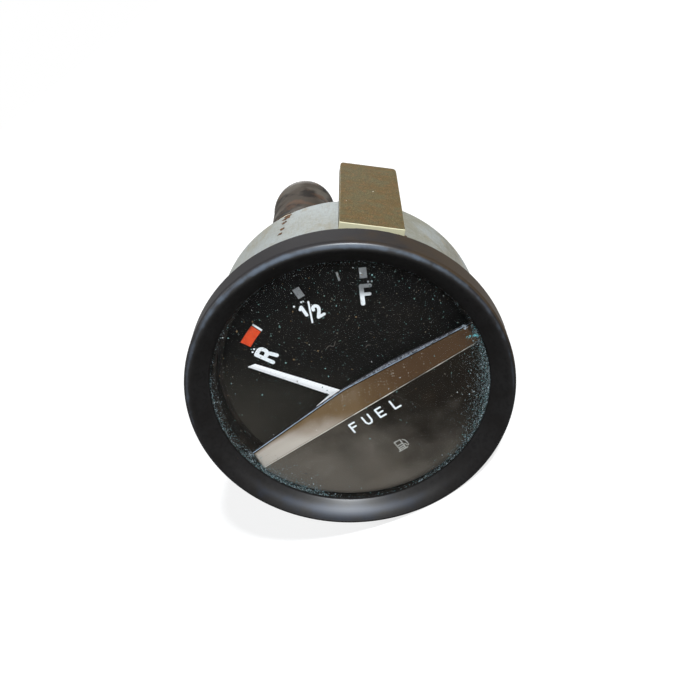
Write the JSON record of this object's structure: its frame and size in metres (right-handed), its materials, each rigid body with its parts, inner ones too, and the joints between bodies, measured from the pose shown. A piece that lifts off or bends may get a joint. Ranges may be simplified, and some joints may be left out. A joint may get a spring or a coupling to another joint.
{
  "type": "car fuel gauge",
  "caption": "Round panel fuel gauge with a black bezel, a dial read by a white pointer, and a strap bracket, lamp holder and blade terminals behind.",
  "frame": {"origin": "centre of the bezel's back face, on the barrel's axis, where the gauge sits on the panel's front", "axes": "the dial faces -Y, +Z is the top of the dial, +X is the dial's right, +Y runs back along the barrel"},
  "size_m": [0.058, 0.0533, 0.058],
  "materials": {
    "bezel_black": "satin black enamel over brass, chipped and faintly scratched along the ridge",
    "clear_glass": "flat window glass with dust and verdigris specks",
    "seal_rubber": "perished black rubber, stained blue-green",
    "mask_black": "satin black paint with a brown sheen",
    "dial_black": "matt black dial paint",
    "white_paint": "matt white paint",
    "red_paint": "matt orange-red paint",
    "case_zinc": "dull zinc plate, brushed round the barrel, with rust spots and an olive stain",
    "passivated_steel": "mottled yellow-brown passivate, bright at the cut edges",
    "plated_steel": "dull plated steel",
    "yellow_zinc": "yellow zinc plate, dulled",
    "brass": "tarnished brass",
    "bimetal": "rolled bimetal sheet",
    "resistance_wire": "silk-covered resistance wire",
    "fibre": "brown vulcanised fibre",
    "cork": "cork",
    "boot_rubber": "aged brown-black rubber, blotched",
    "lamp_clear": "clear lamp glass",
    "wire_red": "lacquered wire"
  },
  "bodies": {
    "gauge": {"glass": "clear_glass", "glass_seal": "seal_rubber", "dial_mask": "mask_black", "dial_plate": "dial_black", "scale_marks": "white_paint", "reserve_mark": "red_paint", "dial_screws": "plated_steel", "dial_pillars": "brass", "movement_frame": "plated_steel", "front_bush": "brass", "rear_bridge": "plated_steel", "rear_bush": "brass", "bridge_screws": "plated_steel", "strip_anchor": "fibre", "anchor_screws": "plated_steel", "adjuster_plugs": "cork", "case": "case_zinc", "mounting_studs": "yellow_zinc", "stud_washers": "plated_steel", "stud_nuts": "yellow_zinc", "earth_tab": "yellow_zinc", "terminal_blade_upper": "brass", "terminal_blade_lower": "brass", "terminal_insulators": "fibre", "terminal_rivets": "brass", "link_wires": "wire_red"},
    "bezel_ring": {"bezel": "bezel_black"},
    "pointer_arbor": {"pointer": "white_paint", "pointer_hub": "dial_black", "pointer_balance": "plated_steel", "pointer_spindle": "plated_steel", "pointer_crank": "brass"},
    "bimetal_arm": {"bimetal_strip": "bimetal", "bimetal_fork": "brass", "heater_winding": "resistance_wire"},
    "zero_spindle": {"zero_adjuster": "plated_steel"},
    "range_spindle": {"range_adjuster": "plated_steel"},
    "bracket": {"clamp_bracket": "passivated_steel", "bracket_washers": "plated_steel"},
    "nut_upper": {"knurled_nut_upper": "brass"},
    "nut_lower": {"knurled_nut_lower": "brass"},
    "lamp": {"lamp_holder": "brass", "lamp_boot": "boot_rubber", "lamp_cap": "brass", "lamp_glass": "lamp_clear", "lamp_contact": "brass", "lamp_insulator": "fibre"}
  },
  "joints": [
    {"name": "pointer_swing", "type": "hinge", "parent": "gauge", "child": "pointer_arbor", "pos_m": [0, 0, -0.0091], "axis": [0, 1, 0], "range_deg": [0, 65]},
    {"name": "bimetal_bend", "type": "hinge", "parent": "gauge", "child": "bimetal_arm", "pos_m": [0.01848, 0, -0.0091], "axis": [0, 1, 0], "range_deg": [-9.85, 0], "stiffness_Nm_per_rad": 0.03},
    {"name": "bezel_twist", "type": "hinge", "parent": "gauge", "child": "bezel_ring", "pos_m": [0, 0, 0], "axis": [0, 1, 0], "range_deg": [0, 35]},
    {"name": "zero_turn", "type": "hinge", "parent": "gauge", "child": "zero_spindle", "pos_m": [0.01187, 0, -0.01634], "axis": [0, 1, 0], "range_deg": [-30, 30]},
    {"name": "range_turn", "type": "hinge", "parent": "gauge", "child": "range_spindle", "pos_m": [0.01973, 0, 0.00384], "axis": [0, 1, 0], "range_deg": [-30, 30]},
    {"name": "bracket_slide", "type": "slide", "parent": "gauge", "child": "bracket", "axis": [0, 1, 0], "range_m": [-0.00162, 0.00486]},
    {"name": "nut_upper_spin", "type": "hinge", "parent": "bracket", "child": "nut_upper", "pos_m": [0.00681, 0, 0.00733], "axis": [0, 1, 0], "range_deg": [-725, 2165]},
    {"name": "nut_lower_spin", "type": "hinge", "parent": "bracket", "child": "nut_lower", "pos_m": [-0.00681, 0, -0.00733], "axis": [0, 1, 0], "range_deg": [-725, 2165]},
    {"name": "lamp_pull", "type": "slide", "parent": "gauge", "child": "lamp", "axis": [0, 1, 0], "range_m": [0, 0.018]}
  ],
  "couplings": [
    {"joint": "bimetal_bend", "follows": "pointer_swing", "ratio": -0.15083},
    {"joint": "nut_upper_spin", "follows": "bracket_slide", "rad_per_m": 7757},
    {"joint": "nut_lower_spin", "follows": "bracket_slide", "rad_per_m": 7757}
  ]
}
